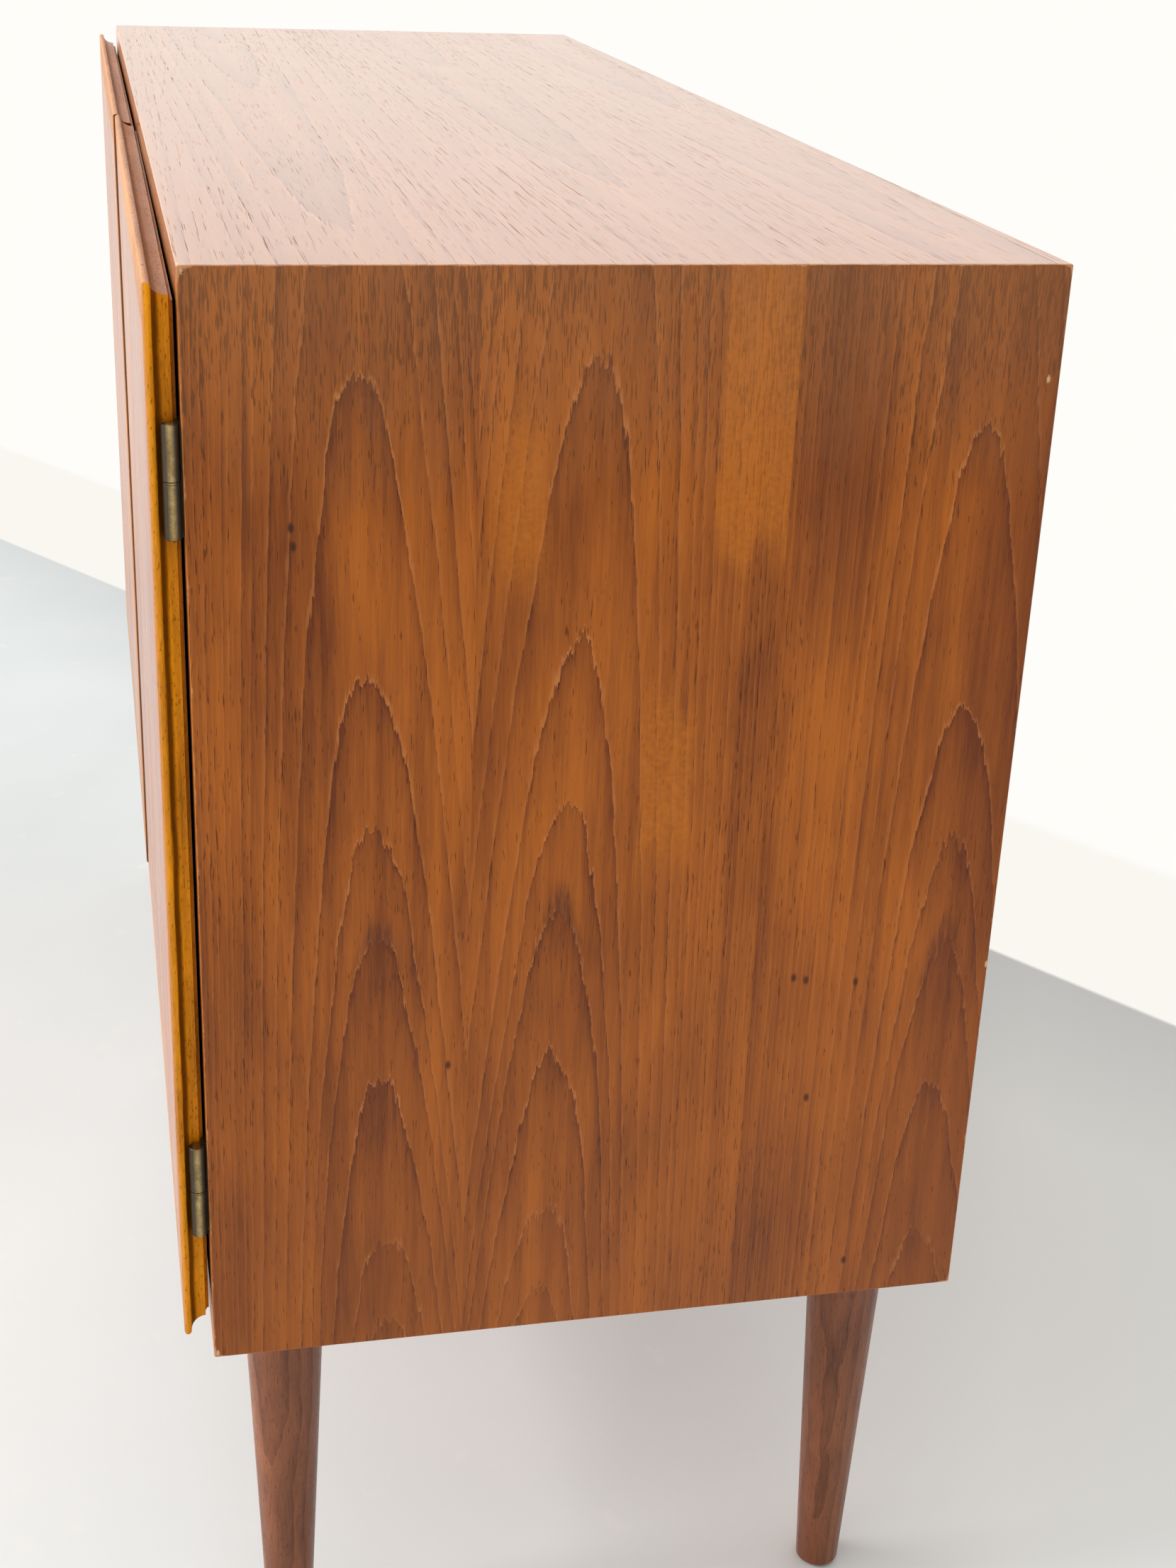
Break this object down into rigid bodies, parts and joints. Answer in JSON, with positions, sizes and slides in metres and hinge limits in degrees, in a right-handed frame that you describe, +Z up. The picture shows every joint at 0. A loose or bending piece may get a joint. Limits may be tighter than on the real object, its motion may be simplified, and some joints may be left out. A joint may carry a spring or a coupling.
{
  "type": "sideboard buffet",
  "caption": "Low teak sideboard on turned tapered legs, with hinged overlay doors whose lipped, coved edges serve as finger pulls.",
  "frame": {"origin": "on the floor under the middle of the whole object, doors included", "axes": "+X along the length towards the right-hand end as seen from the front, -Y out of the doors, +Z up"},
  "size_m": [1.19, 0.435, 0.83],
  "materials": {
    "teak_veneer": "satin oiled",
    "teak_solid": "satin oiled",
    "stained_leg_wood": "satin, dark stained",
    "back_board": "matt",
    "aged_brass": "aged, dull",
    "zinc_steel": "zinc plated",
    "catch_plastic": "moulded",
    "glide_plastic": "moulded"
  },
  "bodies": {
    "carcass": {"back_left_leg": "stained_leg_wood", "back_left_leg_plate": "zinc_steel", "back_panel": "back_board", "back_panel_screws": "zinc_steel", "back_right_leg": "stained_leg_wood", "back_right_leg_plate": "zinc_steel", "bottom_edge_strip": "teak_solid", "bottom_panel": "teak_veneer", "catch_screws": "zinc_steel", "centre_partition": "teak_veneer", "foot_glides": "glide_plastic", "front_left_leg": "stained_leg_wood", "front_left_leg_plate": "zinc_steel", "front_right_leg": "stained_leg_wood", "front_right_leg_plate": "zinc_steel", "hinge_frame_screws": "aged_brass", "hinge_washers": "aged_brass", "left_catch": "catch_plastic", "left_edge_strip": "teak_solid", "left_end_panel": "teak_veneer", "left_lower_hinge_frame_leaf": "aged_brass", "left_lower_hinge_pin": "aged_brass", "left_upper_hinge_frame_leaf": "aged_brass", "left_upper_hinge_pin": "aged_brass", "leg_bolts": "zinc_steel", "leg_plate_screws": "zinc_steel", "partition_edge_strip": "teak_solid", "right_catch": "catch_plastic", "right_edge_strip": "teak_solid", "right_end_panel": "teak_veneer", "right_lower_hinge_frame_leaf": "aged_brass", "right_lower_hinge_pin": "aged_brass", "right_upper_hinge_frame_leaf": "aged_brass", "right_upper_hinge_pin": "aged_brass", "shelf_pins": "aged_brass", "top_edge_strip": "teak_solid", "top_panel": "teak_veneer"},
    "left_door": {"left_door_bottom_lipping": "teak_solid", "left_door_hinge_lipping": "teak_solid", "left_door_meeting_lipping": "teak_solid", "left_door_panel": "teak_veneer", "left_door_screws": "aged_brass", "left_door_strike_plate": "zinc_steel", "left_door_top_lipping": "teak_solid", "left_lower_hinge_door_leaf": "aged_brass", "left_upper_hinge_door_leaf": "aged_brass"},
    "right_door": {"right_door_bottom_lipping": "teak_solid", "right_door_hinge_lipping": "teak_solid", "right_door_meeting_lipping": "teak_solid", "right_door_panel": "teak_veneer", "right_door_screws": "aged_brass", "right_door_strike_plate": "zinc_steel", "right_door_top_lipping": "teak_solid", "right_lower_hinge_door_leaf": "aged_brass", "right_upper_hinge_door_leaf": "aged_brass"},
    "left_shelf": {"left_shelf_board": "teak_veneer", "left_shelf_edge_strip": "teak_solid"},
    "right_shelf": {"right_shelf_board": "teak_veneer", "right_shelf_edge_strip": "teak_solid"}
  },
  "joints": [
    {"name": "right_door_hinge", "type": "hinge", "parent": "carcass", "child": "right_door", "pos_m": [0.591, -0.2076, 0.542], "axis": [0, 0, 1], "range_deg": [0, 130]},
    {"name": "left_door_hinge", "type": "hinge", "parent": "carcass", "child": "left_door", "pos_m": [-0.591, -0.2076, 0.542], "axis": [0, 0, -1], "range_deg": [0, 130]},
    {"name": "right_shelf_lift", "type": "slide", "parent": "carcass", "child": "right_shelf", "axis": [0, 0, 1], "range_m": [0, 0.03]},
    {"name": "left_shelf_lift", "type": "slide", "parent": "carcass", "child": "left_shelf", "axis": [0, 0, 1], "range_m": [0, 0.03]}
  ]
}
